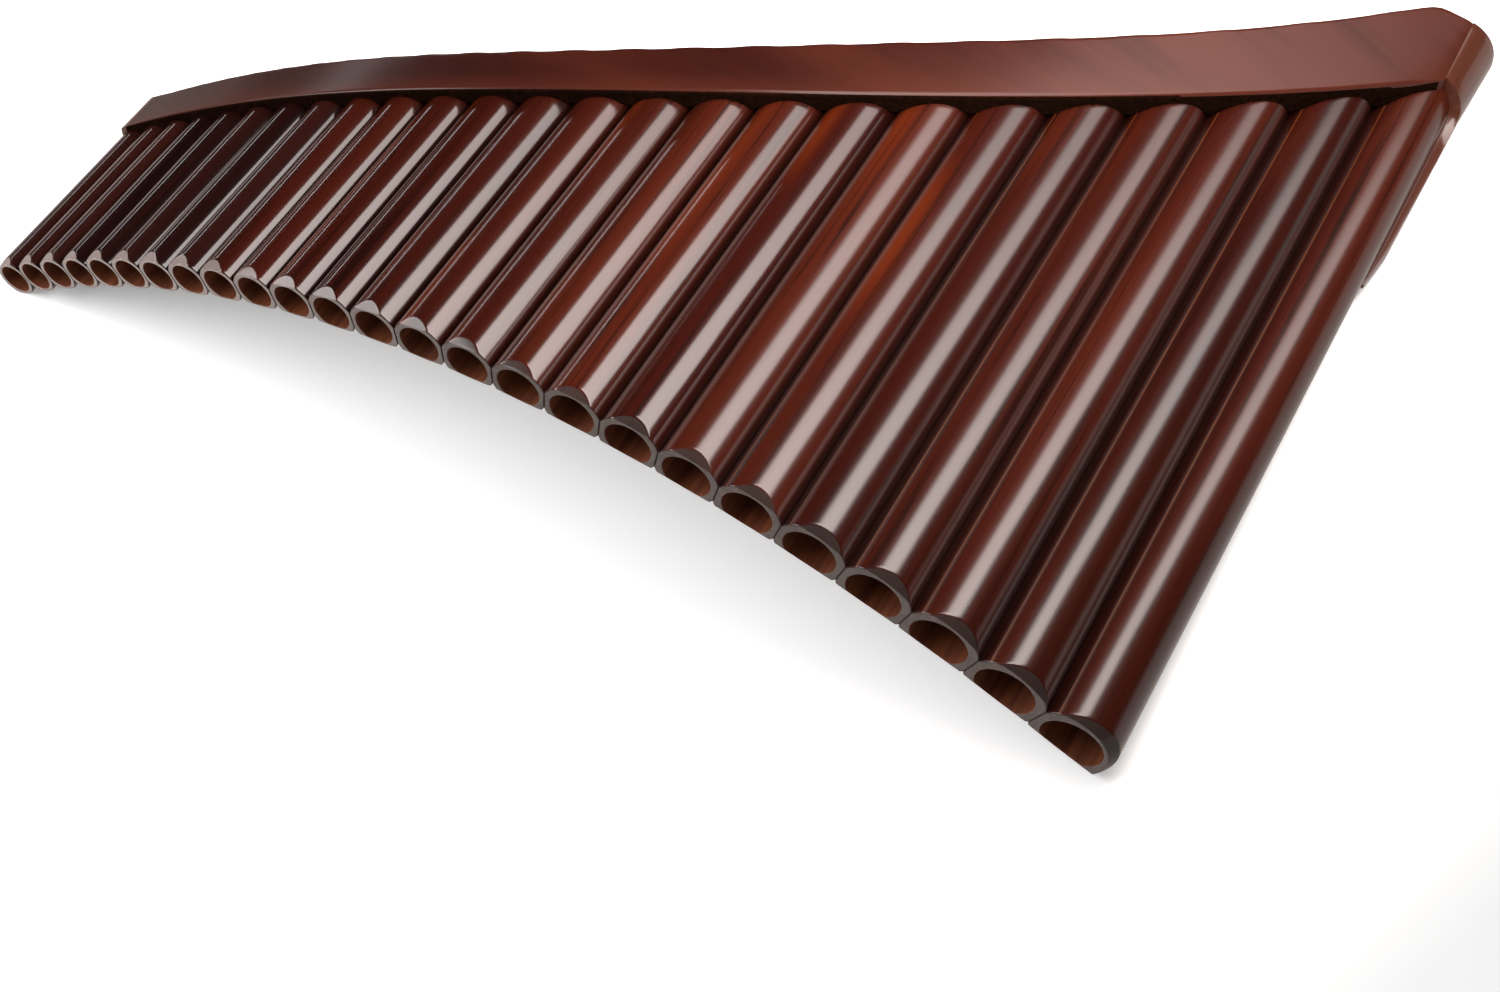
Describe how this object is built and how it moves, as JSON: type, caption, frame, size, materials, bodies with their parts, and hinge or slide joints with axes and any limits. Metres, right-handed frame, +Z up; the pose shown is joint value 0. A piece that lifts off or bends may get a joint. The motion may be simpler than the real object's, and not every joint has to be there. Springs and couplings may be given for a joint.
{
  "type": "pan flute",
  "caption": "Curved pan flute: a row of glued stopped wooden pipes, shortest to longest, held in a bent base rail with end cheeks, lying arch side up.",
  "frame": {"origin": "on the resting surface, under the middle of the whole instrument's box", "axes": "+X along the row from the shortest pipe to the longest, +Y from the mouths to the base, +Z up out of the arch's outer side"},
  "size_m": [0.3968, 0.3141, 0.0805],
  "materials": {
    "pipe_wood": "dark red-brown glossy lacquer over straight grain",
    "base_wood": "red-brown glossy lacquer, grain along the rail",
    "cheek_wood": "red-brown glossy lacquer",
    "cork": "bare agglomerated cork, matt",
    "beeswax": "soft satin beeswax"
  },
  "bodies": {
    "root": {"pipe_01": "pipe_wood", "pipe_02": "pipe_wood", "pipe_03": "pipe_wood", "pipe_04": "pipe_wood", "pipe_05": "pipe_wood", "pipe_06": "pipe_wood", "pipe_07": "pipe_wood", "pipe_08": "pipe_wood", "pipe_09": "pipe_wood", "pipe_10": "pipe_wood", "pipe_11": "pipe_wood", "pipe_12": "pipe_wood", "pipe_13": "pipe_wood", "pipe_14": "pipe_wood", "pipe_15": "pipe_wood", "pipe_16": "pipe_wood", "pipe_17": "pipe_wood", "pipe_18": "pipe_wood", "pipe_19": "pipe_wood", "pipe_20": "pipe_wood", "pipe_21": "pipe_wood", "pipe_22": "pipe_wood", "pipe_23": "pipe_wood", "pipe_24": "pipe_wood", "pipe_25": "pipe_wood", "stopper_01": "cork", "stopper_02": "cork", "stopper_03": "cork", "stopper_04": "cork", "stopper_05": "cork", "stopper_06": "cork", "stopper_07": "cork", "stopper_08": "cork", "stopper_09": "cork", "stopper_10": "cork", "stopper_11": "cork", "stopper_12": "cork", "stopper_13": "cork", "stopper_14": "cork", "stopper_15": "cork", "stopper_16": "cork", "stopper_17": "cork", "stopper_18": "cork", "stopper_19": "cork", "stopper_20": "cork", "stopper_21": "cork", "stopper_22": "cork", "stopper_23": "cork", "stopper_24": "cork", "stopper_25": "cork", "tuning_wax": "beeswax", "base_front_rail": "base_wood", "base_back_rail": "base_wood", "base_sole": "base_wood", "bass_end_cheek": "cheek_wood", "treble_end_cheek": "cheek_wood"}
  },
  "joints": []
}
